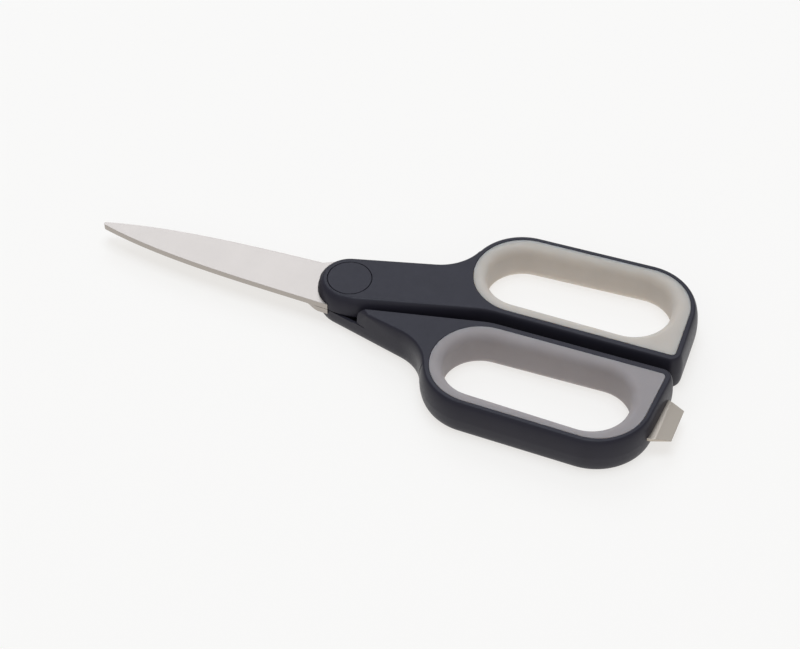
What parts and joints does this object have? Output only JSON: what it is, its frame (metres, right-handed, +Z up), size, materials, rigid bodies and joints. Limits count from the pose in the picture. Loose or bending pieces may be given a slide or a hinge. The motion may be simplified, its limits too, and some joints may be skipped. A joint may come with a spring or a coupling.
{
  "type": "kitchen scissors",
  "caption": "Multi-purpose kitchen scissors with steel blades, large moulded finger loops lined with soft grips, a capped pivot and a package opener in one handle's end.",
  "frame": {"origin": "on the pivot's axis, at the surface that the closed scissors lie on", "axes": "+X from the tip of the blades to the finger loops, +Y to the upper half's handle, +Z up, along the pivot"},
  "size_m": [0.2307, 0.0934, 0.015],
  "materials": {
    "blade_steel": "fine satin, ground along the blade",
    "handle_plastic": "fine moulded grain",
    "grip_light": "matt, soft to the touch",
    "grip_grey": "matt, soft to the touch",
    "fastener_steel": "turned"
  },
  "bodies": {
    "lower_half": {"lower_blade": "blade_steel", "lower_handle": "handle_plastic", "lower_grip": "grip_grey", "lower_pivot_cap": "handle_plastic", "package_opener": "blade_steel", "pivot_bolt": "fastener_steel", "flat_washer": "fastener_steel", "disc_spring": "fastener_steel", "pivot_nut": "fastener_steel"},
    "upper_half": {"upper_blade": "blade_steel", "upper_handle": "handle_plastic", "upper_grip": "grip_light", "upper_pivot_cap": "handle_plastic"}
  },
  "joints": [
    {"name": "pivot", "type": "hinge", "parent": "lower_half", "child": "upper_half", "pos_m": [0, 0, 0.0075], "axis": [0, 0, 1], "range_deg": [0, 60]}
  ]
}
